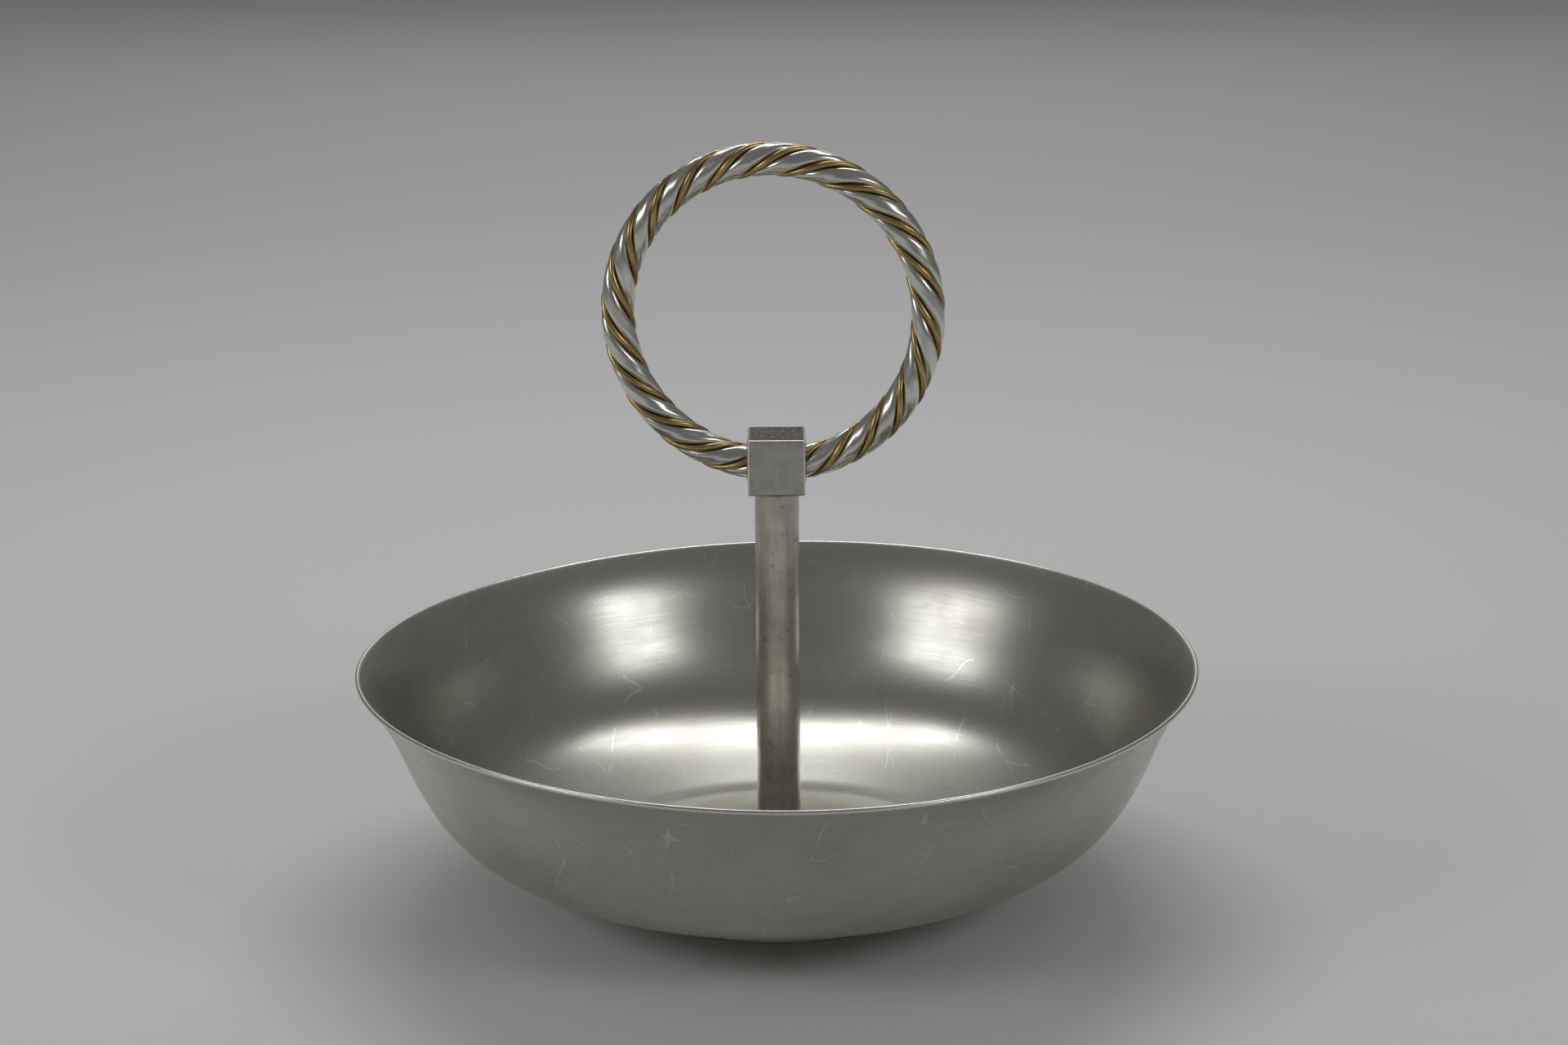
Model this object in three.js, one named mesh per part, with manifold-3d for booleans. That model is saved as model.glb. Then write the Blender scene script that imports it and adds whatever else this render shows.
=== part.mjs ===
// A round pewter bowl on a low foot ring, lifted by a twisted ring on a central post.
// Millimetres, +Z up, the origin on the table under the middle of the bowl, the front towards -Y.
import * as THREE from "three";
import { mergeVertices } from "three/addons/utils/BufferGeometryUtils.js";
import Module from "manifold-3d";

const wasm = await Module();
wasm.setup();

// Bowl: the outer face of the wall, from the edge of the flat floor to the lip
const RIM_RADIUS = 145;
const RIM_HEIGHT = 80.7;
const LIP_ANGLE = 45;
const WAIST_RADIUS = 128.5;
const WAIST_HEIGHT = 52;
const WAIST_ANGLE = 67;
const FLOOR_RADIUS = 68.5;
const FLOOR_SLOPE = 18.5;
const BELLY_FULLNESS = 0.45;
const LIP_FULLNESS = 0.35;
const WALL_THICKNESS = 1.6;
const FLOOR_BEND = 5;

// Foot ring under the floor
const FOOT_HEIGHT = 8.2;
const FOOT_RADIUS = 57;
const FOOT_WALL = 3;
const FOOT_FLARE = 1.2;
const FOOT_CHAMFER = 0.6;

// Post and the square collar block on its top
const POST_DIAMETER = 15.1;
const POST_LENGTH = 133.1;
const POST_CHAMFER = 0.5;
const SPIGOT_DIAMETER = 8;
const SPIGOT_LENGTH = 2;
const BLOCK_SIZE = 19.5;
const BLOCK_EDGE = 0.8;

// Ring handle: strands and groove wires laid round one circle
const RING_RADIUS = 52.4;
const RING_YAW = 6;
const RING_OFFSET = -1;
const RING_END_GAP = 0.6;
const LAYS = 3;
const STRAND_DIAMETER = 4.94;
const STRAND_LAY_RADIUS = 3.1;
const WIRE_DIAMETER = 2.16;
const WIRE_LAY_RADIUS = 4.7;

// Twist of the rope, in degrees: its rate round the ring, its start, and the hand's unevenness
const TWIST_RATE = 7.09;
const TWIST_START = -136;
const UNEVEN_ONCE = { sway: 10.7, at: -110.8 };
const UNEVEN_TWICE = { sway: 17.4, at: -25.4 };

// Screw and washer that hold the post to the floor from below
const SCREW_DIAMETER = 5;
const SCREW_LENGTH = 14;
const SCREW_HEAD_DIAMETER = 9;
const SCREW_HEAD_HEIGHT = 3;
const SLOT_WIDTH = 1.2;
const SLOT_DEPTH = 1.4;
const WASHER_DIAMETER = 20;
const WASHER_THICKNESS = 1.2;

// Clearances
const SOLDER_GAP = 0.1;
const SEAT_GAP = 0.3;
const HOLE_CLEARANCE = 0.3;

// Fineness of the faceting
const BOWL_SEGMENTS = 64;
const ROUND_SEGMENTS = 28;
const CURVE_STEPS = 8;
const STRAND_STEPS = 84;
const STRAND_SIDES = 8;
const WIRE_SIDES = 6;
const BORE_STEPS = 72;
const BORE_SIDES = 16;

// Places that follow from the sizes
const floorTop = FOOT_HEIGHT + WALL_THICKNESS;
const postBottom = floorTop + SOLDER_GAP;
const postTop = postBottom + POST_LENGTH;
const blockBottom = postTop + SOLDER_GAP;
const blockCentre = blockBottom + BLOCK_SIZE / 2;
const ringCentre = blockCentre + Math.sqrt(RING_RADIUS ** 2 - (BLOCK_SIZE / 2) ** 2);
const wireReach = WIRE_LAY_RADIUS + WIRE_DIAMETER / 2;
const strandReach = STRAND_LAY_RADIUS + STRAND_DIAMETER / 2;
const boreRadius = Math.max(wireReach, strandReach) + SEAT_GAP;
const screwHole = SCREW_DIAMETER / 2 + HOLE_CLEARANCE;

const rad = THREE.MathUtils.degToRad;
const point = (x, y) => new THREE.Vector2(x, y);

const pewter = new THREE.MeshStandardMaterial({ color: 0x8b8b86, roughness: 0.38, metalness: 1 });
const darkPewter = new THREE.MeshStandardMaterial({ color: 0x77736b, roughness: 0.45, metalness: 1 });
const brass = new THREE.MeshStandardMaterial({ color: 0xa98a4b, roughness: 0.35, metalness: 1 });
const steel = new THREE.MeshStandardMaterial({ color: 0x8e8f92, roughness: 0.4, metalness: 1 });

// A closed outline of radius and height, turned about the vertical axis
function turned(outline, segments) {
  const closed = [...outline, outline[0].clone()];
  const geometry = new THREE.LatheGeometry(closed, segments);
  return geometry.rotateX(Math.PI / 2);
}

function toSolid(geometry) {
  const bare = geometry.clone();
  bare.deleteAttribute("normal");
  bare.deleteAttribute("uv");
  const merged = mergeVertices(bare);
  const vertProperties = new Float32Array(merged.attributes.position.array);
  const triVerts = new Uint32Array(merged.index.array);
  return new wasm.Manifold(new wasm.Mesh({ numProp: 3, vertProperties, triVerts }));
}

function toGeometry(solid) {
  const mesh = solid.getMesh();
  const geometry = new THREE.BufferGeometry();
  geometry.setAttribute("position", new THREE.BufferAttribute(mesh.vertProperties, 3));
  geometry.setIndex(new THREE.BufferAttribute(mesh.triVerts, 1));
  geometry.computeVertexNormals();
  return geometry;
}

// A cubic curve between two points of the wall, leaving and arriving at given slopes
function wallCurve(from, fromSlope, to, toSlope, fullness) {
  const reach = from.distanceTo(to) * fullness;
  const leave = point(Math.cos(rad(fromSlope)), Math.sin(rad(fromSlope))).multiplyScalar(reach);
  const arrive = point(Math.cos(rad(toSlope)), Math.sin(rad(toSlope))).multiplyScalar(reach);
  return new THREE.CubicBezierCurve(from, from.clone().add(leave), to.clone().sub(arrive), to);
}

// The wall's outer face with the slope at each point: floor bend, belly, then the flared lip
function outerFace() {
  const floorEdge = point(FLOOR_RADIUS, FOOT_HEIGHT);
  const waist = point(WAIST_RADIUS, WAIST_HEIGHT);
  const rim = point(RIM_RADIUS, RIM_HEIGHT);
  const slope = point(Math.cos(rad(FLOOR_SLOPE)), Math.sin(rad(FLOOR_SLOPE)));
  const bendStart = point(FLOOR_RADIUS - FLOOR_BEND, FOOT_HEIGHT);
  const bendEnd = floorEdge.clone().addScaledVector(slope, FLOOR_BEND);
  const bend = new THREE.QuadraticBezierCurve(bendStart, floorEdge, bendEnd);
  const belly = wallCurve(bendEnd, FLOOR_SLOPE, waist, WAIST_ANGLE, BELLY_FULLNESS);
  const lip = wallCurve(waist, WAIST_ANGLE, rim, LIP_ANGLE, LIP_FULLNESS);
  const stretches = [[bend, 2], [belly, CURVE_STEPS], [lip, CURVE_STEPS - 3]];
  const face = [];
  for (const [curve, steps] of stretches) {
    for (let i = face.length ? 1 : 0; i <= steps; i += 1) {
      face.push({ at: curve.getPoint(i / steps), along: curve.getTangent(i / steps) });
    }
  }
  return face;
}

// The shell is one thickness of metal, its inner face square off the outer one
function bowlShell() {
  const face = outerFace();
  const inward = ({ at, along }) => point(at.x - along.y * WALL_THICKNESS, at.y + along.x * WALL_THICKNESS);
  const end = face[face.length - 1];
  const lipCrown = end.at.clone().add(inward(end)).multiplyScalar(0.5);
  lipCrown.addScaledVector(end.along, WALL_THICKNESS * 0.3);
  const outline = [point(screwHole, FOOT_HEIGHT)];
  outline.push(...face.map(({ at }) => at));
  outline.push(lipCrown);
  outline.push(...face.map(inward).reverse());
  outline.push(point(screwHole, floorTop));
  return turned(outline, BOWL_SEGMENTS);
}

function footRing() {
  const top = FOOT_HEIGHT - SOLDER_GAP;
  const inner = FOOT_RADIUS - FOOT_WALL;
  return turned([
    point(inner, 0),
    point(FOOT_RADIUS - FOOT_CHAMFER, 0),
    point(FOOT_RADIUS, FOOT_CHAMFER),
    point(FOOT_RADIUS - FOOT_FLARE, top),
    point(inner, top),
  ], BOWL_SEGMENTS);
}

// A round bar with a spigot on top for the block and a blind hole below for the screw
function post() {
  const r = POST_DIAMETER / 2;
  const hole = SCREW_LENGTH + HOLE_CLEARANCE;
  const spigot = SPIGOT_DIAMETER / 2;
  return turned([
    point(0, postTop + SPIGOT_LENGTH),
    point(0, postBottom + hole),
    point(screwHole, postBottom + hole),
    point(screwHole, postBottom),
    point(r - POST_CHAMFER, postBottom),
    point(r, postBottom + POST_CHAMFER),
    point(r, postTop - POST_CHAMFER),
    point(r - POST_CHAMFER, postTop),
    point(spigot, postTop),
    point(spigot, postTop + SPIGOT_LENGTH),
  ], ROUND_SEGMENTS);
}

// A tube of flat-sided section along a curve, its ends square to the curve
function tubeAlong(curve, radius, steps, sides) {
  const section = new THREE.Shape(
    Array.from({ length: sides }, (_, i) => {
      const turn = (2 * Math.PI * i) / sides;
      return point(radius * Math.cos(turn), radius * Math.sin(turn));
    }),
  );
  return new THREE.ExtrudeGeometry(section, { steps, bevelEnabled: false, extrudePath: curve });
}

// Where a strand lies: round the ring by the angle from its top, and round the rope by the twist
class RopeCurve extends THREE.Curve {
  constructor(layRadius, startAngle) {
    super();
    this.layRadius = layRadius;
    this.startAngle = startAngle;
  }

  getPoint(t) {
    const endGap = THREE.MathUtils.radToDeg(RING_END_GAP / RING_RADIUS);
    const angle = (2 * t - 1) * (180 - endGap);
    const once = UNEVEN_ONCE.sway * Math.sin(rad(angle - UNEVEN_ONCE.at));
    const twice = UNEVEN_TWICE.sway * Math.sin(rad(2 * (angle - UNEVEN_TWICE.at)));
    const twist = rad(this.startAngle + TWIST_START + TWIST_RATE * angle + once + twice);
    const outward = RING_RADIUS + this.layRadius * Math.sin(twist);
    const x = outward * Math.sin(rad(angle));
    const z = outward * Math.cos(rad(angle));
    return new THREE.Vector3(x, -this.layRadius * Math.cos(twist), z);
  }
}

function strand(layRadius, diameter, sides, startAngle) {
  return tubeAlong(new RopeCurve(layRadius, startAngle), diameter / 2, STRAND_STEPS, sides);
}

// The hole that the rope's two ends meet in, a tube of the ring's own curve
function ropeBore() {
  const outline = Array.from({ length: BORE_SIDES }, (_, i) => {
    const turn = (2 * Math.PI * i) / BORE_SIDES;
    return point(RING_RADIUS + boreRadius * Math.cos(turn), boreRadius * Math.sin(turn));
  });
  const closed = [...outline, outline[0].clone()];
  const bore = new THREE.LatheGeometry(closed, BORE_STEPS).rotateX(Math.PI / 2);
  bore.rotateX(Math.PI / 2).rotateZ(-rad(RING_YAW));
  return toSolid(bore.translate(RING_OFFSET, 0, ringCentre));
}

function collarBlock() {
  const half = BLOCK_SIZE / 2 - BLOCK_EDGE;
  const side = new THREE.Shape([point(-half, -half), point(half, -half), point(half, half), point(-half, half)]);
  const block = new THREE.ExtrudeGeometry(side, {
    depth: 2 * half,
    bevelThickness: BLOCK_EDGE,
    bevelSize: BLOCK_EDGE,
    bevelSegments: 2,
  });
  block.translate(0, 0, -half).rotateX(Math.PI / 2).translate(0, 0, blockCentre);
  const spigotHole = new THREE.CylinderGeometry(
    SPIGOT_DIAMETER / 2 + HOLE_CLEARANCE,
    SPIGOT_DIAMETER / 2 + HOLE_CLEARANCE,
    2 * (SPIGOT_LENGTH + HOLE_CLEARANCE),
    ROUND_SEGMENTS,
  );
  spigotHole.rotateX(Math.PI / 2).translate(0, 0, blockBottom);
  return toGeometry(toSolid(block).subtract(ropeBore()).subtract(toSolid(spigotHole)));
}

function fixingWasher() {
  const top = FOOT_HEIGHT - SOLDER_GAP;
  return turned([
    point(screwHole, top - WASHER_THICKNESS),
    point(WASHER_DIAMETER / 2, top - WASHER_THICKNESS),
    point(WASHER_DIAMETER / 2, top),
    point(screwHole, top),
  ], ROUND_SEGMENTS);
}

function fixingScrew() {
  const headTop = FOOT_HEIGHT - 2 * SOLDER_GAP - WASHER_THICKNESS;
  const headBottom = headTop - SCREW_HEAD_HEIGHT;
  const tip = postBottom + SCREW_LENGTH;
  const r = SCREW_DIAMETER / 2;
  const screw = turned([
    point(0, tip),
    point(0, headBottom),
    point(SCREW_HEAD_DIAMETER / 2, headBottom),
    point(SCREW_HEAD_DIAMETER / 2, headTop),
    point(r, headTop),
    point(r, tip),
  ], ROUND_SEGMENTS);
  const slot = new THREE.BoxGeometry(2 * SCREW_HEAD_DIAMETER, SLOT_WIDTH, 2 * SLOT_DEPTH);
  slot.translate(0, 0, headBottom);
  return toGeometry(toSolid(screw).subtract(toSolid(slot)));
}

function piece(name, geometry, material) {
  const mesh = new THREE.Mesh(geometry, material);
  mesh.name = name;
  return mesh;
}

// The ring handle stands on edge in its own turned group
function ringHandle() {
  const group = new THREE.Group();
  for (let i = 0; i < LAYS; i += 1) {
    const start = (360 / LAYS) * i;
    const between = start + 180 / LAYS;
    const pewterStrand = strand(STRAND_LAY_RADIUS, STRAND_DIAMETER, STRAND_SIDES, between);
    const brassWire = strand(WIRE_LAY_RADIUS, WIRE_DIAMETER, WIRE_SIDES, start);
    group.add(piece(`ring_strand_${i + 1}`, pewterStrand, pewter));
    group.add(piece(`groove_wire_${i + 1}`, brassWire, brass));
  }
  group.position.set(RING_OFFSET, 0, ringCentre);
  group.rotation.z = -rad(RING_YAW);
  return group;
}

const bowl = new THREE.Group();
bowl.add(piece("bowl_shell", bowlShell(), pewter));
bowl.add(piece("foot_ring", footRing(), pewter));
bowl.add(piece("post", post(), darkPewter));
bowl.add(piece("collar_block", collarBlock(), pewter));
bowl.add(ringHandle());
bowl.add(piece("fixing_washer", fixingWasher(), steel));
bowl.add(piece("fixing_screw", fixingScrew(), steel));

export default bowl;
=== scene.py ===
"""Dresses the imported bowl: a flared pewter bowl with a centre post and a twisted ring handle."""
import math

import bmesh
import bpy
import numpy as np
from mathutils import Matrix, Vector


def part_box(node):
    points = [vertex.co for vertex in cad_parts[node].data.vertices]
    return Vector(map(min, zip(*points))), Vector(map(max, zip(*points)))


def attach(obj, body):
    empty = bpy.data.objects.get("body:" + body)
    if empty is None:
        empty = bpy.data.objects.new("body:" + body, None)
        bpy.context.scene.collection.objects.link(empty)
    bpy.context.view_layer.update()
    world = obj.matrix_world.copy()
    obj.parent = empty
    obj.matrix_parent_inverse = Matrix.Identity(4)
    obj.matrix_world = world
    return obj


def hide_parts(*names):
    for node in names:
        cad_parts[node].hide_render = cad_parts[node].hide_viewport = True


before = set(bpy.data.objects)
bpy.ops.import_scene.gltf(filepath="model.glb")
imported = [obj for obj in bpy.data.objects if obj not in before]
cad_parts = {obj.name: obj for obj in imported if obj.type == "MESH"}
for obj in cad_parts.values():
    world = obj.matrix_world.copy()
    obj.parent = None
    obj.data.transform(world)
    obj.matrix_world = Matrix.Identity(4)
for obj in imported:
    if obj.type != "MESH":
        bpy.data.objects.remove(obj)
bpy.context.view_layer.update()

bl_info = {
    "name": "Pewter bowl with a twisted ring handle",
    "version": (1, 0, 0),
    "blender": (4, 5, 0),
    "location": "3D View > Sidebar > Bowl",
    "description": "Makes the surfaces and finishes of a pewter bowl around its packed parts",
    "category": "Object",
}

MM = 0.001
BODY = "root"
MERGE_DISTANCE = 1e-7

# Steps of the meshes, along their outlines and round them
FLOOR_STEPS = 24
BEND_STEPS = 8
BELLY_STEPS = 44
LIP_STEPS = 30
RIM_STEPS = 8
BOWL_SEGMENTS = 256
FOOT_SEGMENTS = 192
FILLET_STEPS = 6
POST_STEPS = 89
POST_SEGMENTS = 96
BLOCK_STEPS = 48
BLOCK_EDGE_STEPS = 5
ROPE_STEPS = 900

# Small sizes of the surfaces. The flat margin is a share of a corner's radius
FLAT_MARGIN = 0.15
FOOT_TAPER = 1.2 * MM
FOOT_EDGE = 0.5 * MM
POST_EDGE = 0.55 * MM
POST_CLEARANCE = 0.1 * MM
BURR_RADIUS = 6.0 * MM
BURR_WIDTH = 0.9 * MM

# Grain: how far out it turns on turned pieces, and how much slower it runs along a bar, block or strand
TURNED_GRAIN = 0.006
POST_GRAIN = 0.08
BLOCK_GRAIN = 0.1
ROPE_GRAIN = 0.06

# Where wear and painted shade begin and end, and how strong they are at their most
RIM_WORN = (0.7 * MM, 1.1 * MM)
ROPE_SHADE = (3.0 * MM, 4.1 * MM)
POST_SHADE_LOW = 1.2 * MM
POST_SHADE_START = 1.0 * MM
POST_SHADE_FULL = 0.4 * MM
RIM_WEAR = 0.75
ROPE_WEAR = 0.3
UNDER_BLOCK_WEAR = 0.2
POST_SHADE = 0.8
BLOCK_TOP_SHADE = 0.75

# Sizes of the finishes' noises in millimetres, the streaks' shade, and the scratches' turns and seeds
FINE_MM = 0.9
SPOT_MM = 2.6
SCRATCH_MM = 30
BROKEN_MM = 9
DUST_MM = 1.5
STREAK_SHADE = (0.5, 0.49, 0.47, 1)
SCRATCH_STRETCH = 0.04
SCRATCH_WAYS = ((0.5, 0.0), (2.1, 7.3), (-0.7, 3.1))

# The photograph's camera
PHOTO_WIDTH = 1920
FOCAL_PIXELS = 4304
SENSOR_WIDTH = 36
CAMERA_PLACE = (2.4 * MM, -1153.9 * MM, 462.7 * MM)
CAMERA_PITCH = math.radians(16.03)
CAMERA_ROLL = math.radians(-0.38)

# The stage, with each soft lamp's name, place, width, height and radiance
STAGE_HALF = 6.0
PAPER_ROUGHNESS = 0.9
LAMP_TARGET = (0, 0, 0.05)
SOFTBOXES = (
    ("front right softbox", (0.94, -0.75, 0.74), 0.5, 0.36, 3.4),
    ("front left softbox", (-1.06, -0.6, 0.72), 0.66, 0.36, 3.2),
    ("overhead softbox", (0, 0.58, 1.27), 1.1, 0.3, 4.6),
    ("low rear softbox", (0, 2.0, 0.95), 1.5, 0.7, 0.75),
)

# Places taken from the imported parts
SHELL_LOW, SHELL_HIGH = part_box("bowl_shell")
_, FOOT_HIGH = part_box("foot_ring")
POST_LOW, POST_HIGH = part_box("post")
BLOCK_LOW, BLOCK_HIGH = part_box("collar_block")
BLOCK_CENTRE = (BLOCK_LOW + BLOCK_HIGH) / 2


def linear(hex_colour):
    """An sRGB hex colour as linear red, green, blue and a full alpha."""
    values = [int(hex_colour[i:i + 2], 16) / 255 for i in (1, 3, 5)]
    return tuple(v / 12.92 if v <= 0.04045 else ((v + 0.055) / 1.055) ** 2.4 for v in values) + (1.0,)


def length(name, description, millimetres):
    """A length property whose default is given in millimetres."""
    return bpy.props.FloatProperty(
        name=name, description=description, default=millimetres * MM, unit="LENGTH", precision=5)


def angle(name, description, degrees):
    """An angle property whose default is given in degrees."""
    return bpy.props.FloatProperty(
        name=name, description=description, default=math.radians(degrees), subtype="ANGLE")


def colour(name, description, hex_colour):
    """A colour property whose default is an sRGB hex value."""
    return bpy.props.FloatVectorProperty(
        name=name, description=description, default=linear(hex_colour),
        subtype="COLOR", size=4, min=0, max=1)


class BowlSizes(bpy.types.PropertyGroup):
    """Sizes of the bowl, its foot, post and block."""

    rim_radius: length("Rim radius", "From the middle to the outside of the lip", SHELL_HIGH.x / MM)
    rim_height: length("Rim height", "Height of the lip's outer edge", 80.7)
    lip_angle: angle("Lip angle", "Slope of the wall at the lip", 45)
    waist_radius: length("Waist radius", "Where the belly turns into the flare", 128.5)
    waist_height: length("Waist height", "Height of that place", 52)
    waist_angle: angle("Waist angle", "Slope of the wall there", 67)
    floor_radius: length("Floor radius", "Edge of the flat floor", 68.5)
    floor_height: length("Floor height", "Underside of the flat floor", SHELL_LOW.z / MM)
    floor_slope: angle("Floor slope", "Slope at which the belly leaves the floor", 18.5)
    floor_bend: length("Floor bend", "Half the width of the bend there", 5)
    belly_fullness: bpy.props.FloatProperty(
        name="Belly fullness", description="How round the belly is", default=0.45)
    lip_fullness: bpy.props.FloatProperty(
        name="Lip fullness", description="How round the flare is", default=0.35)
    wall: length("Wall", "Thickness of the metal", 1.6)
    hole_radius: length("Hole radius", "Screw hole under the post", 2.8)
    foot_wall: length("Foot wall", "Thickness of the foot ring", 3)
    block_edge: length("Block edge", "Rounding of the block's edges", 0.8)
    solder_fillet: length("Solder fillet", "Fillet of solder round the foot of the post", 1.1)
    burr: length("Burr", "Height of the solder burr where the ring enters the block", 0.45)


class HandleSizes(bpy.types.PropertyGroup):
    """Sizes of the twisted ring handle."""

    ring_radius: length("Ring radius", "From the ring's middle to the middle of the rope", 52.4)
    ring_offset: length("Ring offset", "How far the ring sits to the left of the post", 1)
    ring_yaw: angle("Ring yaw", "Turn of the ring about the post", 6)
    end_gap: length("End gap", "Half the gap between the rope's two ends", 0.6)
    strand_radius: length("Strand radius", "Half the thickness of a pewter strand", 2.52)
    strand_lay: length("Strand lay radius", "From the rope's middle to a strand's middle", 3.1)
    wire_radius: length("Wire radius", "Half the thickness of a brass wire", 1.02)
    wire_lay: length("Wire lay radius", "From the rope's middle to a wire's middle", 4.7)
    twist_rate: bpy.props.FloatProperty(
        name="Twist rate", description="Degrees of twist for each degree round the ring", default=7.09)
    twist_start: angle("Twist start", "Twist of the first wire at the top of the ring", -136)
    uneven_once: angle("Uneven once", "Sway of the twist, one wave to the ring", 10.7)
    uneven_once_at: angle("Uneven once at", "Where that sway is nil", -110.8)
    uneven_twice: angle("Uneven twice", "Sway of the twist, two waves to the ring", 17.4)
    uneven_twice_at: angle("Uneven twice at", "Where that sway is nil", -25.4)


class FinishColours(bpy.types.PropertyGroup):
    """Colours of the metals and of the stage."""

    pewter: colour("Pewter", "Satin pewter of the bowl and block", "#c6c6be")
    tarnish: colour("Tarnish", "Thin brown tarnish on the pewter", "#a59c8f")
    post: colour("Post pewter", "Darker pewter of the post", "#d6d1c6")
    strand: colour("Strand pewter", "Bright pewter of the strands", "#dfe0d8")
    brass: colour("Brass", "Aged brass of the wires", "#c6b07a")
    brass_dark: colour("Dark brass", "Brown tarnish on the brass", "#7d6238")
    # Painted shade: this colour darkens the rope's grooves, both ends of the post and the block's top
    # face. The pits take it too
    painted_shade: colour("Shade", "Dark deposit left in the grooves", "#4a443c")
    worn: colour("Worn metal", "Bright worn edges", "#efeee9")
    steel: colour("Steel", "Screw and washer", "#96989c")
    floor: colour("Floor", "Plain pale floor", "#f0f0f0")
    world: colour("Room", "Plain room light", "#6a6a6a")


# Meshes

def make_piece(context, name, points, closed, traits, material, nodes):
    """A mesh from grids of points, each rows by columns by three, in metres.

    Each grid's neighbouring points make four-sided faces, and closed says whether the last row meets
    the first and the last column meets the first. Points in one place are merged, which closes poles
    and seams. traits holds the grain, wear and painted shade of every point.
    """
    faces = []
    offset = 0
    for grid in points:
        rows, columns = grid.shape[:2]
        index = np.arange(rows * columns).reshape(rows, columns) + offset
        offset += rows * columns
        if closed[0]:
            index = np.vstack([index, index[:1]])
        if closed[1]:
            index = np.hstack([index, index[:, :1]])
        quads = np.stack([index[:-1, :-1], index[1:, :-1], index[1:, 1:], index[:-1, 1:]], axis=-1)
        faces.append(quads.reshape(-1, 4))
    mesh = bpy.data.meshes.new(name)
    places = np.concatenate([grid.reshape(-1, 3) for grid in points])
    mesh.from_pydata(places, [], np.concatenate(faces))
    for trait, kind in (("grain", "FLOAT_VECTOR"), ("wear", "FLOAT"), ("shade_mask", "FLOAT")):
        values = np.asarray(traits[trait], dtype=np.float32).ravel()
        field = "vector" if kind == "FLOAT_VECTOR" else "value"
        mesh.attributes.new(trait, kind, "POINT").data.foreach_set(field, values)
    cleaned = bmesh.new()
    cleaned.from_mesh(mesh)
    bmesh.ops.remove_doubles(cleaned, verts=cleaned.verts, dist=MERGE_DISTANCE)
    bmesh.ops.recalc_face_normals(cleaned, faces=cleaned.faces)
    cleaned.to_mesh(mesh)
    cleaned.free()
    mesh.shade_smooth()
    mesh.materials.append(material)
    piece = bpy.data.objects.new(name, mesh)
    context.scene.collection.objects.link(piece)
    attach(piece, BODY)
    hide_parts(*nodes)
    return piece


def wall_curve(start, start_slope, end, end_slope, fullness, steps):
    """A cubic curve from start to end.

    Its two handles are fullness times the chord, along the slope at each end, and each point is
    the cubic Bernstein sum of the four control points.
    """
    reach = np.linalg.norm(end - start) * fullness
    leave = start + reach * np.array([math.cos(start_slope), math.sin(start_slope)])
    arrive = end - reach * np.array([math.cos(end_slope), math.sin(end_slope)])
    t = np.linspace(0, 1, steps + 1)[:, None]
    return ((1 - t) ** 3 * start + 3 * (1 - t) ** 2 * t * leave
            + 3 * (1 - t) * t ** 2 * arrive + t ** 3 * end)


def outer_wall(sizes):
    """The bowl's outer outline as radius and height: flat floor, short bend, belly and flare."""
    slope = np.array([math.cos(sizes.floor_slope), math.sin(sizes.floor_slope)])
    edge = np.array([sizes.floor_radius, sizes.floor_height])
    waist = np.array([sizes.waist_radius, sizes.waist_height])
    rim = np.array([sizes.rim_radius, sizes.rim_height])
    bend_start = edge - np.array([sizes.floor_bend, 0])
    bend_end = edge + slope * sizes.floor_bend
    t = np.linspace(0, 1, BEND_STEPS + 1)[:, None]
    bend = (1 - t) ** 2 * bend_start + 2 * (1 - t) * t * edge + t ** 2 * bend_end
    belly = wall_curve(bend_end, sizes.floor_slope, waist, sizes.waist_angle,
                       sizes.belly_fullness, BELLY_STEPS)
    lip = wall_curve(waist, sizes.waist_angle, rim, sizes.lip_angle, sizes.lip_fullness, LIP_STEPS)
    across = np.linspace(sizes.hole_radius, bend_start[0], FLOOR_STEPS, endpoint=False)
    floor = np.column_stack([across, np.full_like(across, sizes.floor_height)])
    return np.vstack([floor, bend, belly[1:], lip[1:]])


def square_off(outline, distance):
    """The outline moved by a distance square to itself, to its left."""
    along = np.gradient(outline, axis=0)
    along /= np.linalg.norm(along, axis=1)[:, None]
    return outline + distance * np.column_stack([-along[:, 1], along[:, 0]])


def half_round(start, end, steps):
    """A half circle from start to end, bulging to the right of the way from one to the other."""
    middle = (start + end) / 2
    across = start - middle
    forward = np.array([-across[1], across[0]])
    turn = np.linspace(0, math.pi, steps + 1)[1:-1, None]
    return middle + across * np.cos(turn) + forward * np.sin(turn)


def rounded_outline(corners, radius, steps=4):
    """An outline through the corners with each inner one rounded.

    A corner is a quadratic curve that leaves and arrives at radius from it. One more point lies just
    outside each end, so that the flat stretches shade flat.
    """
    corners = [np.array(corner, dtype=float) for corner in corners]
    points = [corners[0]]
    for before, corner, after in zip(corners, corners[1:], corners[2:]):
        back = (before - corner) / np.linalg.norm(before - corner)
        ahead = (after - corner) / np.linalg.norm(after - corner)
        t = np.linspace(0, 1, steps + 1)[:, None]
        start, end = corner + back * radius, corner + ahead * radius
        points.append(start + back * radius * FLAT_MARGIN)
        points.extend((1 - t) ** 2 * start + 2 * (1 - t) * t * corner + t ** 2 * end)
        points.append(end + ahead * radius * FLAT_MARGIN)
    points.append(corners[-1])
    return np.array(points)


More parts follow.
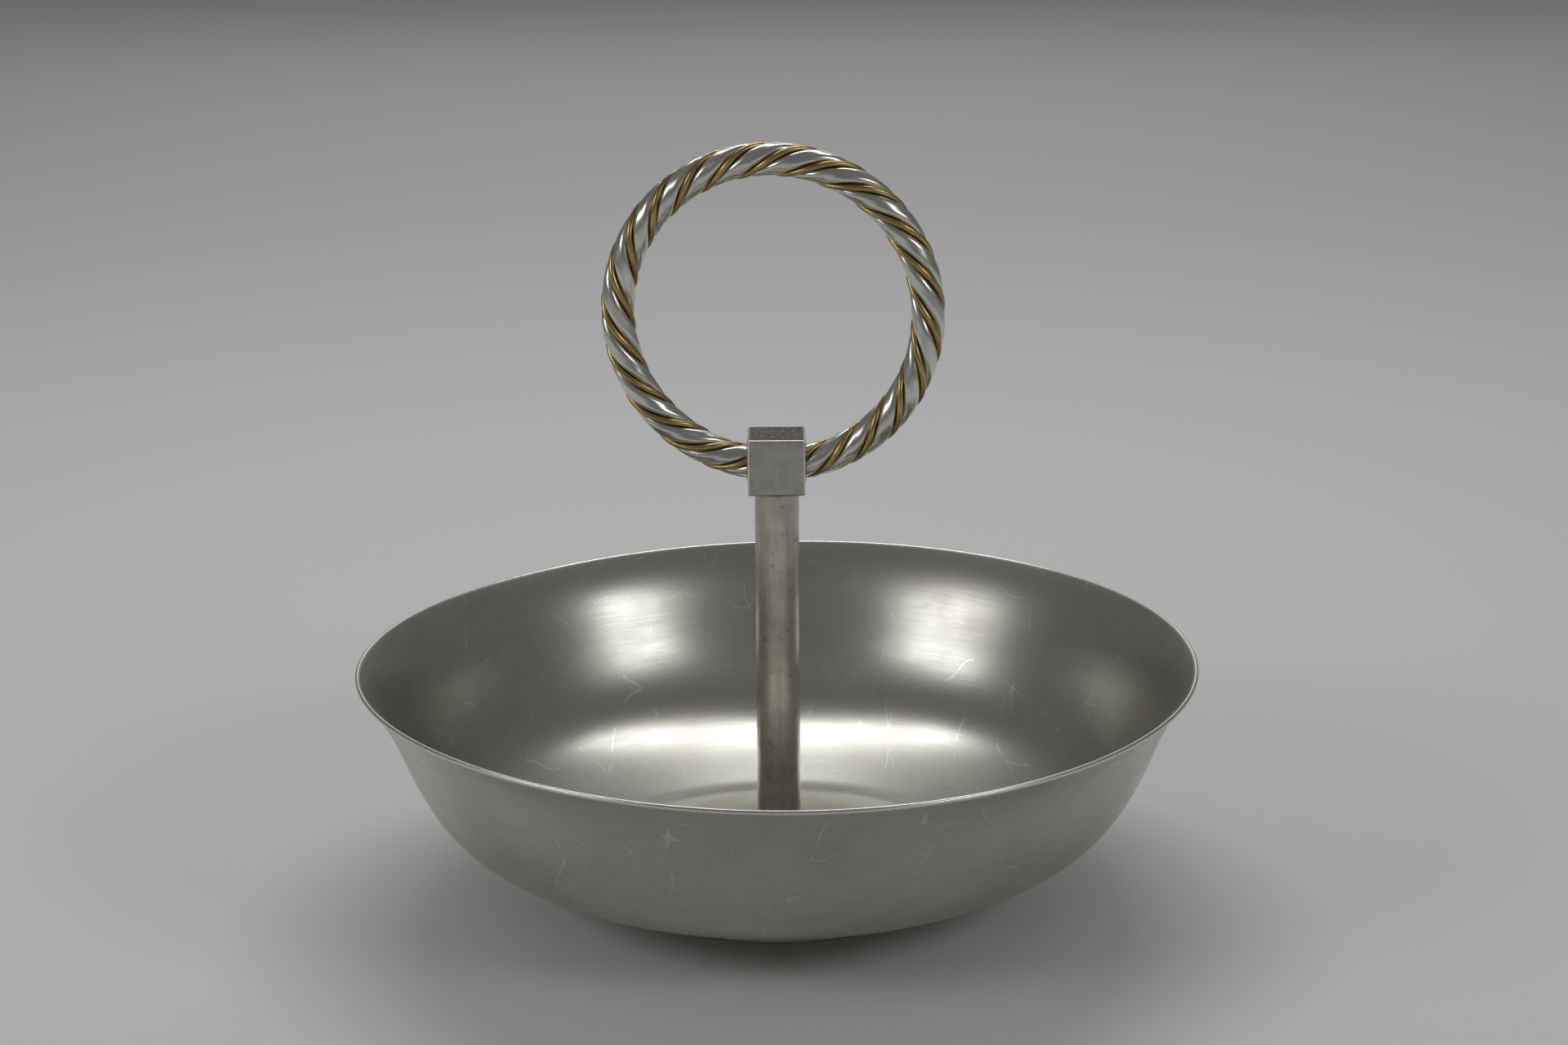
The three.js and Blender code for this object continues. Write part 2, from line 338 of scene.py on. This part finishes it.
def turned(outline, segments):
    """An outline of radius and height turned about the upright axis, with its grain.

    A point is the radius times the cosine and sine of the turn, and the height. The grain is slow round
    the axis and fast along the outline, so marks drawn in it run round the piece.
    """
    turn = np.linspace(0, 2 * math.pi, segments, endpoint=False)[:, None]
    radius, height = outline[:, 0][None], outline[:, 1][None]
    points = np.stack([radius * np.cos(turn), radius * np.sin(turn), height + 0 * turn], axis=-1)
    steps = np.linalg.norm(np.diff(outline, axis=0), axis=1)
    along = np.concatenate([[0], np.cumsum(steps)])[None] + 0 * turn
    sway = TURNED_GRAIN + 0 * along
    grain = np.stack([sway * np.cos(turn), sway * np.sin(turn), along], axis=-1)
    return points, grain, turn


def ramp(values, low, high):
    """Zero below low, one above high, and a smooth step between."""
    t = np.clip((values - low) / (high - low), 0, 1)
    return t * t * (3 - 2 * t)


# Materials

def add_node(tree, kind, settings=None, links=None):
    """One node with its settings, by input or property name, and the sockets that feed its inputs."""
    node = tree.nodes.new(kind)
    for key, value in (settings or {}).items():
        if isinstance(key, int) or key in node.inputs:
            node.inputs[key].default_value = value
        else:
            setattr(node, key, value)
    for key, socket in (links or {}).items():
        tree.links.new(socket, node.inputs[key])
    return node


def noise(tree, place, size_mm, detail, roughness=0.5):
    """Noise of a size in millimetres over a place or a grain."""
    settings = {"Scale": 1000 / size_mm, "Detail": detail, "Roughness": roughness}
    return add_node(tree, "ShaderNodeTexNoise", settings, {"Vector": place}).outputs["Fac"]


def ranged(tree, value, low, high, most=1.0):
    """A value's stretch from low to high, laid out from nil to most and held at both ends."""
    settings = {"From Min": low, "From Max": high, "To Max": most}
    return add_node(tree, "ShaderNodeMapRange", settings, {"Value": value}).outputs["Result"]


def mixed(tree, base, over, factor, blend="MIX"):
    """The base with a colour laid over it by a factor."""
    settings = {"blend_type": blend, "Color2": over}
    return add_node(tree, "ShaderNodeMixRGB", settings, {"Fac": factor, "Color1": base}).outputs["Color"]


def calculated(tree, operation, *values):
    """One sum by its operation. Each value is a float or another node's socket."""
    settings, links = {"operation": operation}, {}
    for i, value in enumerate(values):
        (settings if isinstance(value, float) else links)[i] = value
    return add_node(tree, "ShaderNodeMath", settings, links).outputs[0]


def metal(name, face, stain, worn, deep, roughness, streak_mm, stain_mm, relief_mm,
          streaks=0.25, pits=0.0, stains=0.5, scratches=0.0):
    """A solid metal whose colour shifts with stains, streaks, wear and painted shade.

    Streaks follow the piece's grain, and stains and pits its own place. The wear attribute says where
    hands have brightened it, and the last attribute where shade is painted in the deep colour.
    """
    material = bpy.data.materials.new(name)
    material.use_nodes = True
    tree = material.node_tree
    tree.nodes.clear()
    place = add_node(tree, "ShaderNodeTexCoord").outputs["Object"]
    grain = add_node(tree, "ShaderNodeAttribute", {"attribute_name": "grain"}).outputs["Vector"]
    wear = add_node(tree, "ShaderNodeAttribute", {"attribute_name": "wear"}).outputs["Fac"]
    shade_mask = add_node(tree, "ShaderNodeAttribute", {"attribute_name": "shade_mask"}).outputs["Fac"]
    cloud = noise(tree, place, stain_mm, 4.0, 0.6)
    streak = noise(tree, grain, streak_mm, 5.0, 0.65)
    fine = noise(tree, place, FINE_MM, 3.0, 0.6)
    spots = noise(tree, place, SPOT_MM, 2.0)
    stained = ranged(tree, cloud, 0.42, 0.72, stains)
    base = add_node(tree, "ShaderNodeMixRGB", {"Color1": face, "Color2": stain},
                    {"Fac": stained}).outputs["Color"]
    lined = ranged(tree, streak, 0.35, 0.7, streaks)
    base = mixed(tree, base, STREAK_SHADE, lined, "MULTIPLY")
    pitted = ranged(tree, spots, 0.64, 0.7, pits)
    base = mixed(tree, base, deep, pitted)
    if scratches:
        base = scratched(tree, place, base, worn, scratches)
        base = dusted(tree, place, base, worn, scratches)
    # Painted shade keeps to where the last attribute asks, in the deep colour, with a ragged edge
    ragged = calculated(tree, "MULTIPLY_ADD", fine, 0.9, -0.45)
    shade_amount = calculated(tree, "ADD", shade_mask, ragged)
    shade_amount = ranged(tree, shade_amount, 0.35, 0.75, 0.92)
    base = mixed(tree, base, deep, shade_amount)
    rubbed = calculated(tree, "MULTIPLY_ADD", ragged, 0.8, wear)
    rubbed = ranged(tree, rubbed, 0.3, 0.8, 0.9)
    base = mixed(tree, base, worn, rubbed)
    rough = calculated(tree, "MULTIPLY_ADD", cloud, 0.16, roughness - 0.08)
    rough = calculated(tree, "MULTIPLY_ADD", streak, 0.1, rough)
    rough = calculated(tree, "MULTIPLY_ADD", shade_amount, 0.3, rough)
    heights = calculated(tree, "MULTIPLY_ADD", fine, 0.5, streak)
    heights = calculated(tree, "MULTIPLY_ADD", pitted, -1.5, heights)
    relief = add_node(tree, "ShaderNodeBump", {"Distance": relief_mm * MM, "Strength": 1.0},
                      {"Height": heights}).outputs["Normal"]
    shader = add_node(tree, "ShaderNodeBsdfPrincipled", {"Metallic": 1.0},
                      {"Base Color": base, "Roughness": rough, "Normal": relief}).outputs["BSDF"]
    add_node(tree, "ShaderNodeOutputMaterial", links={"Surface": shader})
    return material


def scratched(tree, place, base, bright, strength):
    """Fine, slightly curved scratches.

    They are the level lines of three noises, each drawn out along its own way and broken up.
    """
    for turn, seed in SCRATCH_WAYS:
        drawn_out = {
            "Location": (seed, seed, seed),
            "Rotation": (turn, 0.4, turn),
            "Scale": (1.0, SCRATCH_STRETCH, 1.0),
        }
        way = add_node(tree, "ShaderNodeMapping", drawn_out, {"Vector": place}).outputs["Vector"]
        level = noise(tree, way, SCRATCH_MM, 0.0)
        broken = noise(tree, place, BROKEN_MM, 1.0)
        off = calculated(tree, "SUBTRACT", level, 0.5 + 0.04 * turn)
        off = calculated(tree, "ABSOLUTE", off)
        line = ranged(tree, off, 0.004, 0.001, strength)
        gap = ranged(tree, broken, 0.54, 0.6)
        line = calculated(tree, "MULTIPLY", line, gap)
        base = mixed(tree, base, bright, line)
    return base


def dusted(tree, place, base, bright, strength):
    """Specks of dust about half a millimetre across: the rare high tops of a fine noise."""
    speck = ranged(tree, noise(tree, place, DUST_MM, 1.0), 0.77, 0.8, strength)
    return mixed(tree, base, bright, speck)


def turned_pewter(colours):
    """Pewter, spun and rubbed with fine abrasive: satin, with marks that run round the bowl."""
    return metal("turned pewter", colours.pewter, colours.tarnish, colours.worn, colours.painted_shade,
                 roughness=0.25, streak_mm=0.9, stain_mm=40, relief_mm=0.012, streaks=0.16, stains=0.4,
                 scratches=0.5)


def pitted_pewter(colours):
    """Cast pewter bar, left dark: small pits, and streaks along its length."""
    return metal("pitted pewter", colours.post, colours.tarnish, colours.worn, colours.painted_shade,
                 roughness=0.28, streak_mm=1.4, stain_mm=9, relief_mm=0.03, streaks=0.3, pits=0.3)


def filed_pewter(colours):
    """Pewter block, filed flat and handled: smudges, grain and bright worn edges."""
    return metal("filed pewter", colours.pewter, colours.tarnish, colours.worn, colours.painted_shade,
                 roughness=0.3, streak_mm=1.2, stain_mm=6, relief_mm=0.03, streaks=0.25, pits=0.2)


def drawn_pewter(colours):
    """Thick pewter wire, drawn and polished: bright, with painted shade in the grooves beside its
    neighbours.
    """
    return metal("drawn pewter", colours.strand, colours.pewter, colours.worn, colours.painted_shade,
                 roughness=0.2, streak_mm=0.8, stain_mm=7, relief_mm=0.012, streaks=0.22)


def aged_brass(colours):
    """Brass wire gone brown, rubbed golden where a hand touches it."""
    return metal("aged brass", colours.brass, colours.brass_dark, colours.brass, colours.painted_shade,
                 roughness=0.24, streak_mm=0.7, stain_mm=10, relief_mm=0.03, streaks=0.3)


def turned_steel(colours):
    """Plain turned steel of the screw and washer: grey, with tool marks."""
    return metal("turned steel", colours.steel, colours.steel, colours.worn, colours.painted_shade,
                 roughness=0.3, streak_mm=0.6, stain_mm=8, relief_mm=0.02)


# Bowl, foot and post

def rim_waver(turn):
    """How the rim strays from a true circle: radius and height, each a few low waves round the bowl."""
    out = 0.43 * np.sin(2 * turn) - 0.29 * np.cos(3 * turn) - 0.14 * np.cos(2 * turn) - 0.3
    up = (0.92 * np.sin(2 * turn) + 0.43 * np.cos(2 * turn) - 0.5 * np.sin(3 * turn)
          + 0.32 * np.sin(turn + 0.8))
    return out * MM, up * MM


class BOWL_OT_shell(bpy.types.Operator):
    """Make the spun pewter shell of the bowl"""

    bl_idname = "bowl.shell"
    bl_label = "Bowl shell"

    def execute(self, context):
        sizes = context.scene.bowl_sizes
        outer = outer_wall(sizes)
        inner = square_off(outer, sizes.wall)[::-1]
        # Inside, the floor's points stand right over those outside
        inner[-FLOOR_STEPS:, 0] = outer[:FLOOR_STEPS, 0][::-1]
        outline = np.vstack([outer, half_round(outer[-1], inner[0], RIM_STEPS), inner])
        points, grain, turn = turned(outline, BOWL_SEGMENTS)
        flare = ramp(points[..., 2], sizes.waist_height, sizes.rim_height)
        out, up = rim_waver(turn)
        spread = 1 + flare * out / sizes.rim_radius
        points[..., 0] *= spread
        points[..., 1] *= spread
        points[..., 2] += flare * up
        edge = np.linalg.norm(outline - (outer[-1] + inner[0]) / 2, axis=1)
        wear = RIM_WEAR * (1 - ramp(edge, *RIM_WORN))
        wear = np.broadcast_to(wear, points.shape[:2])
        traits = {"grain": grain, "wear": wear, "shade_mask": np.zeros(points.shape[:2])}
        make_piece(context, "turned_bowl", [points], (True, True), traits,
                   turned_pewter(context.scene.bowl_colours), ["bowl_shell"])
        return {"FINISHED"}


class BOWL_OT_foot(bpy.types.Operator):
    """Make the low foot ring under the floor"""

    bl_idname = "bowl.foot"
    bl_label = "Foot ring"

    def execute(self, context):
        sizes = context.scene.bowl_sizes
        radius, top = FOOT_HIGH.x, FOOT_HIGH.z
        inner = radius - sizes.foot_wall
        middle = (radius + inner) / 2
        corners = [(middle, 0), (radius, 0), (radius - FOOT_TAPER, top),
                   (inner, top), (inner, 0), (middle, 0)]
        outline = rounded_outline(corners, FOOT_EDGE)
        points, grain, _ = turned(outline[:-1], FOOT_SEGMENTS)
        plain = np.zeros(points.shape[:2])
        traits = {"grain": grain, "wear": plain, "shade_mask": plain}
        make_piece(context, "foot", [points], (True, True), traits,
                   turned_pewter(context.scene.bowl_colours), ["foot_ring"])
        return {"FINISHED"}


class BOWL_OT_post(bpy.types.Operator):
    """Make the round post, with a fillet of solder round its foot"""

    bl_idname = "bowl.post"
    bl_label = "Post"

    def execute(self, context):
        sizes = context.scene.bowl_sizes
        radius, bottom, top = POST_HIGH.x, POST_LOW.z, BLOCK_LOW.z
        fillet = sizes.solder_fillet
        t = np.linspace(0, math.pi / 2, FILLET_STEPS + 1)
        flare = np.column_stack([radius + fillet * (1 - np.sin(t)), bottom + fillet * (1 - np.cos(t))])
        end = top - POST_CLEARANCE
        shaft = rounded_outline([flare[-1], (radius, end), (0, end)], POST_EDGE)
        between = np.linspace(0, 1, POST_STEPS + 1)[1:-1, None]
        long_side = flare[-1] + between * (shaft[1] - flare[-1])
        outline = np.vstack([[(0, bottom)], flare, long_side, shaft[1:]])
        points, grain, turn = turned(outline, POST_SEGMENTS)
        # Streaks on the bar run up it, so the grain is slow along the height
        spin = radius * np.stack([np.cos(turn), np.sin(turn)], axis=-1)
        grain[..., :2] = spin
        grain[..., 2] = points[..., 2] * POST_GRAIN
        # Painted shade darkens the post near its foot and just under the block
        low = 1 - ramp(points[..., 2], bottom, bottom + POST_SHADE_LOW)
        high = ramp(points[..., 2], top - POST_SHADE_START, top - POST_SHADE_FULL)
        painted_shade = np.maximum(low, high) * POST_SHADE
        traits = {"grain": grain, "wear": np.zeros(points.shape[:2]), "shade_mask": painted_shade}
        make_piece(context, "round_post", [points], (True, False), traits,
                   pitted_pewter(context.scene.bowl_colours), ["post"])
        return {"FINISHED"}


def rope_entry(handle, side):
    """Where the rope's middle passes the block's side face: its y and z on that face."""
    half = (BLOCK_HIGH.x - BLOCK_LOW.x) / 2
    along = (side * half + handle.ring_offset) / math.cos(handle.ring_yaw)
    height = ring_centre(handle).z - math.sqrt(handle.ring_radius ** 2 - along ** 2)
    return -along * math.sin(handle.ring_yaw), height


def ring_centre(handle):
    """The ring's middle: over the block by as much as puts the rope through the middle of its sides."""
    half = (BLOCK_HIGH.x - BLOCK_LOW.x) / 2
    rise = math.sqrt(handle.ring_radius ** 2 - half ** 2)
    return Vector((-handle.ring_offset, 0, BLOCK_CENTRE.z + rise))


class BOWL_OT_block(bpy.types.Operator):
    """Make the square collar block, with a burr of solder where the ring enters it"""

    bl_idname = "bowl.block"
    bl_label = "Collar block"

    def execute(self, context):
        """Each face is a flat grid on a cube. A point past the core box is drawn in to the edge's
        width from the core, which rounds the edges and corners."""
        sizes = context.scene.bowl_sizes
        handle = context.scene.bowl_handle
        half = (BLOCK_HIGH.x - BLOCK_LOW.x) / 2
        edge = sizes.block_edge
        core = half - edge
        flat = np.linspace(-core, core, BLOCK_STEPS + 1)
        lip = core + edge * np.tan(np.linspace(0, math.pi / 4, BLOCK_EDGE_STEPS + 1))[1:]
        line = np.concatenate([-lip[::-1], flat, lip])
        a, b = np.meshgrid(line, line, indexing="ij")
        c = np.full_like(a, half)
        grids = []
        for axis in range(3):
            for side in (-1, 1):
                faces = [a, b, c * side]
                cube = np.stack([faces[(k - axis) % 3] for k in range(3)], axis=-1)
                inside = np.clip(cube, -core, core)
                off = cube - inside
                distance = np.linalg.norm(off, axis=-1, keepdims=True)
                grids.append(inside + off * edge / distance)
        for grid in grids:
            for side in (-1, 1):
                y, z = rope_entry(handle, side)
                near = np.hypot(grid[..., 1] - y, grid[..., 2] + BLOCK_CENTRE.z - z)
                on_side = ramp(side * grid[..., 0], core, half)
                swell = np.exp(-((near - BURR_RADIUS) / BURR_WIDTH) ** 2)
                grid[..., 0] += side * on_side * swell * sizes.burr
        points = [grid + np.array(BLOCK_CENTRE) for grid in grids]
        every = np.concatenate([grid.reshape(-1, 3) for grid in grids])
        outmost = np.sort(np.abs(every), axis=1)
        # Wear keeps to the rounded edges, less of it under the block, and painted shade darkens the top
        # face
        wear = ramp(outmost[:, 1], core + 0.15 * edge, core + 0.5 * edge)
        below = every[:, 2] < -core
        wear = np.where(below, UNDER_BLOCK_WEAR * wear, wear)
        top = ramp(every[:, 2], core + 0.6 * edge, half)
        grain = every * np.array([1.0, BLOCK_GRAIN, 1.0])
        traits = {"grain": grain, "wear": wear, "shade_mask": BLOCK_TOP_SHADE * top * (1 - wear)}
        make_piece(context, "square_block", points, (False, False), traits,
                   filed_pewter(context.scene.bowl_colours), ["collar_block"])
        return {"FINISHED"}


# Ring handle

def rope_line(handle, lay, start, steps):
    """The middle line of a strand, and the rope's own middle beside it.

    At an angle round the ring from its top, the twist is the rate times the angle plus two slow sways.
    The strand's middle is the ring's middle line, moved out by the lay times the sine of the twist and
    forward by the lay times its cosine.
    """
    reach = math.pi - handle.end_gap / handle.ring_radius
    turn = np.linspace(-reach, reach, steps)
    once = handle.uneven_once * np.sin(turn - handle.uneven_once_at)
    twice = handle.uneven_twice * np.sin(2 * (turn - handle.uneven_twice_at))
    twist = start + handle.twist_start + handle.twist_rate * turn + once + twice
    sideways = np.array([math.cos(handle.ring_yaw), -math.sin(handle.ring_yaw), 0])
    forward = np.array([-math.sin(handle.ring_yaw), -math.cos(handle.ring_yaw), 0])
    outward = np.sin(turn)[:, None] * sideways + np.cos(turn)[:, None] * np.array([0, 0, 1])
    middle = np.array(ring_centre(handle)) + handle.ring_radius * outward
    line = middle + lay * (np.sin(twist)[:, None] * outward + np.cos(twist)[:, None] * forward)
    return line, middle


def rope_piece(context, name, radius, lay, start, sides, squareness, spread, material, node):
    """A strand along its line in the rope.

    Round each point of the line, in the plane square to it, lies a circle filled out towards a square by
    its squareness: the radius times the sum of the cosine and sine to that power, to minus one over it.
    Across the rope it is wider by its spread. Both ends close on their own middle points.
    """
    line, middle = rope_line(context.scene.bowl_handle, lay, start, ROPE_STEPS)
    along = np.gradient(line, axis=0)
    along /= np.linalg.norm(along, axis=1)[:, None]
    away = line - middle
    away -= (away * along).sum(axis=1)[:, None] * along
    away /= np.linalg.norm(away, axis=1)[:, None]
    beside = np.cross(along, away)
    turn = np.linspace(0, 2 * math.pi, sides, endpoint=False)
    cosine, sine = np.cos(turn)[None, :, None], np.sin(turn)[None, :, None]
    swell = (np.abs(cosine) ** squareness + np.abs(sine) ** squareness) ** (-1 / squareness)
    points = line[:, None] + radius * swell * (cosine * away[:, None] + spread * sine * beside[:, None])
    points = np.concatenate([line[:1, None] + 0 * points[:1], points, line[-1:, None] + 0 * points[:1]])
    run = np.concatenate([[0], np.cumsum(np.linalg.norm(np.diff(line, axis=0), axis=1))])
    run = np.concatenate([run[:1], run, run[-1:]])[:, None] + 0 * turn[None]
    round_x = radius * np.cos(turn) + 0 * run
    round_y = radius * np.sin(turn) + 0 * run
    grain = np.stack([round_x, round_y, run * ROPE_GRAIN], axis=-1)
    core = np.concatenate([middle[:1], middle, middle[-1:]])[:, None]
    depth = np.linalg.norm(points - core, axis=-1)
    # Wear brightens the outer crests, and painted shade darkens the rope's grooves near its middle
    traits = {
        "grain": grain,
        "wear": ROPE_WEAR * ramp(depth, lay + 0.8 * radius, lay + radius),
        "shade_mask": 1 - ramp(depth, *ROPE_SHADE),
    }
    make_piece(context, name, [points], (False, True), traits, material, [node])


class BOWL_OT_strands(bpy.types.Operator):
    """Make the three thick pewter strands of the ring"""

    bl_idname = "bowl.strands"
    bl_label = "Pewter strands"

    def execute(self, context):
        handle = context.scene.bowl_handle
        material = drawn_pewter(context.scene.bowl_colours)
        for i in range(3):
            start = math.radians(120 * i + 60)
            rope_piece(context, f"thick_strand_{i + 1}", handle.strand_radius, handle.strand_lay, start,
                       sides=28, squareness=2.9, spread=1.06,
                       material=material, node=f"ring_strand_{i + 1}")
        return {"FINISHED"}


class BOWL_OT_wires(bpy.types.Operator):
    """Make the three brass wires in the grooves of the ring"""

    bl_idname = "bowl.wires"
    bl_label = "Brass wires"

    def execute(self, context):
        handle = context.scene.bowl_handle
        material = aged_brass(context.scene.bowl_colours)
        for i in range(3):
            start = math.radians(120 * i)
            rope_piece(context, f"brass_wire_{i + 1}", handle.wire_radius, handle.wire_lay, start,
                       sides=16, squareness=2.0, spread=1.0,
                       material=material, node=f"groove_wire_{i + 1}")
        return {"FINISHED"}


class BOWL_OT_fixings(bpy.types.Operator):
    """Give the screw and washer under the floor their steel"""

    bl_idname = "bowl.fixings"
    bl_label = "Screw and washer"

    def execute(self, context):
        material = turned_steel(context.scene.bowl_colours)
        for node in ("fixing_screw", "fixing_washer"):
            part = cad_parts[node]
            part.data.materials.clear()
            part.data.materials.append(material)
        return {"FINISHED"}


# Stage

def add_softbox(context, name, place, target, width, height, radiance):
    """A flat soft lamp that faces the target. Its power is its radiance times pi times its area."""
    lamp = bpy.data.lights.new(name, "AREA")
    lamp.shape = "RECTANGLE"
    lamp.size, lamp.size_y = width, height
    lamp.energy = radiance * math.pi * width * height
    holder = bpy.data.objects.new(name, lamp)
    context.scene.collection.objects.link(holder)
    holder.location = place
    holder.visible_camera = False
    holder.rotation_euler = (Vector(target) - Vector(place)).to_track_quat("-Z", "Y").to_euler()


def add_camera(context):
    """The photograph's camera, from its place, pitch, roll and focal length."""
    camera = bpy.data.cameras.new("photo camera")
    camera.sensor_fit = "HORIZONTAL"
    camera.sensor_width = SENSOR_WIDTH
    camera.lens = FOCAL_PIXELS / PHOTO_WIDTH * SENSOR_WIDTH
    holder = bpy.data.objects.new("photo camera", camera)
    context.scene.collection.objects.link(holder)
    ahead = Vector((0, math.cos(CAMERA_PITCH), -math.sin(CAMERA_PITCH)))
    level = Vector((1, 0, 0))
    upright = level.cross(ahead)
    right = level * math.cos(CAMERA_ROLL) + upright * math.sin(CAMERA_ROLL)
    up = upright * math.cos(CAMERA_ROLL) - level * math.sin(CAMERA_ROLL)
    turn = Matrix((right, up, -ahead)).transposed()
    holder.matrix_world = Matrix.Translation(CAMERA_PLACE) @ turn.to_4x4()
    context.scene.camera = holder


class BOWL_OT_stage(bpy.types.Operator):
    """Set the camera, the plain pale floor and the soft light"""

    bl_idname = "bowl.stage"
    bl_label = "Stage"

    def execute(self, context):
        colours = context.scene.bowl_colours
        add_camera(context)
        context.scene.view_settings.view_transform = "Standard"
        half = STAGE_HALF
        corners = [(-half, -half, 0), (half, -half, 0), (half, half, 0), (-half, half, 0)]
        mesh = bpy.data.meshes.new("floor")
        mesh.from_pydata(corners, [], [(0, 1, 2, 3)])
        paper = bpy.data.materials.new("pale paper")
        paper.use_nodes = True
        shader = paper.node_tree.nodes["Principled BSDF"]
        shader.inputs["Base Color"].default_value = colours.floor
        shader.inputs["Roughness"].default_value = PAPER_ROUGHNESS
        mesh.materials.append(paper)
        floor = bpy.data.objects.new("floor", mesh)
        context.scene.collection.objects.link(floor)
        world = bpy.data.worlds.new("pale room")
        world.use_nodes = True
        world.node_tree.nodes["Background"].inputs["Color"].default_value = colours.world
        context.scene.world = world
        for name, place, width, height, radiance in SOFTBOXES:
            add_softbox(context, name, place, LAMP_TARGET, width, height, radiance)
        return {"FINISHED"}


class BOWL_PT_panel(bpy.types.Panel):
    """Lists the pieces of the bowl, its sizes and its colours"""

    bl_idname = "BOWL_PT_panel"
    bl_label = "Bowl"
    bl_space_type = "VIEW_3D"
    bl_region_type = "UI"
    bl_category = "Bowl"

    def draw(self, context):
        for operator in OPERATORS:
            self.layout.operator(operator.bl_idname)
        for group in (context.scene.bowl_sizes, context.scene.bowl_handle, context.scene.bowl_colours):
            for name in group.__annotations__:
                self.layout.prop(group, name)


OPERATORS = (
    BOWL_OT_stage,
    BOWL_OT_shell,
    BOWL_OT_foot,
    BOWL_OT_post,
    BOWL_OT_block,
    BOWL_OT_strands,
    BOWL_OT_wires,
    BOWL_OT_fixings,
)
GROUPS = {"bowl_sizes": BowlSizes, "bowl_handle": HandleSizes, "bowl_colours": FinishColours}
CLASSES = (*GROUPS.values(), *OPERATORS, BOWL_PT_panel)


def register():
    for cls in CLASSES:
        bpy.utils.register_class(cls)
    for name, group in GROUPS.items():
        setattr(bpy.types.Scene, name, bpy.props.PointerProperty(type=group))


def unregister():
    for name in GROUPS:
        delattr(bpy.types.Scene, name)
    for cls in reversed(CLASSES):
        bpy.utils.unregister_class(cls)


def plain(box):
    """A box's two corners as plain lists."""
    return [list(corner) for corner in box]


def main():
    register()
    bpy.ops.bowl.stage()
    bpy.ops.bowl.shell()
    bpy.ops.bowl.foot()
    bpy.ops.bowl.post()
    bpy.ops.bowl.block()
    bpy.ops.bowl.strands()
    bpy.ops.bowl.wires()
    bpy.ops.bowl.fixings()


if __name__ == "__main__":
    main()
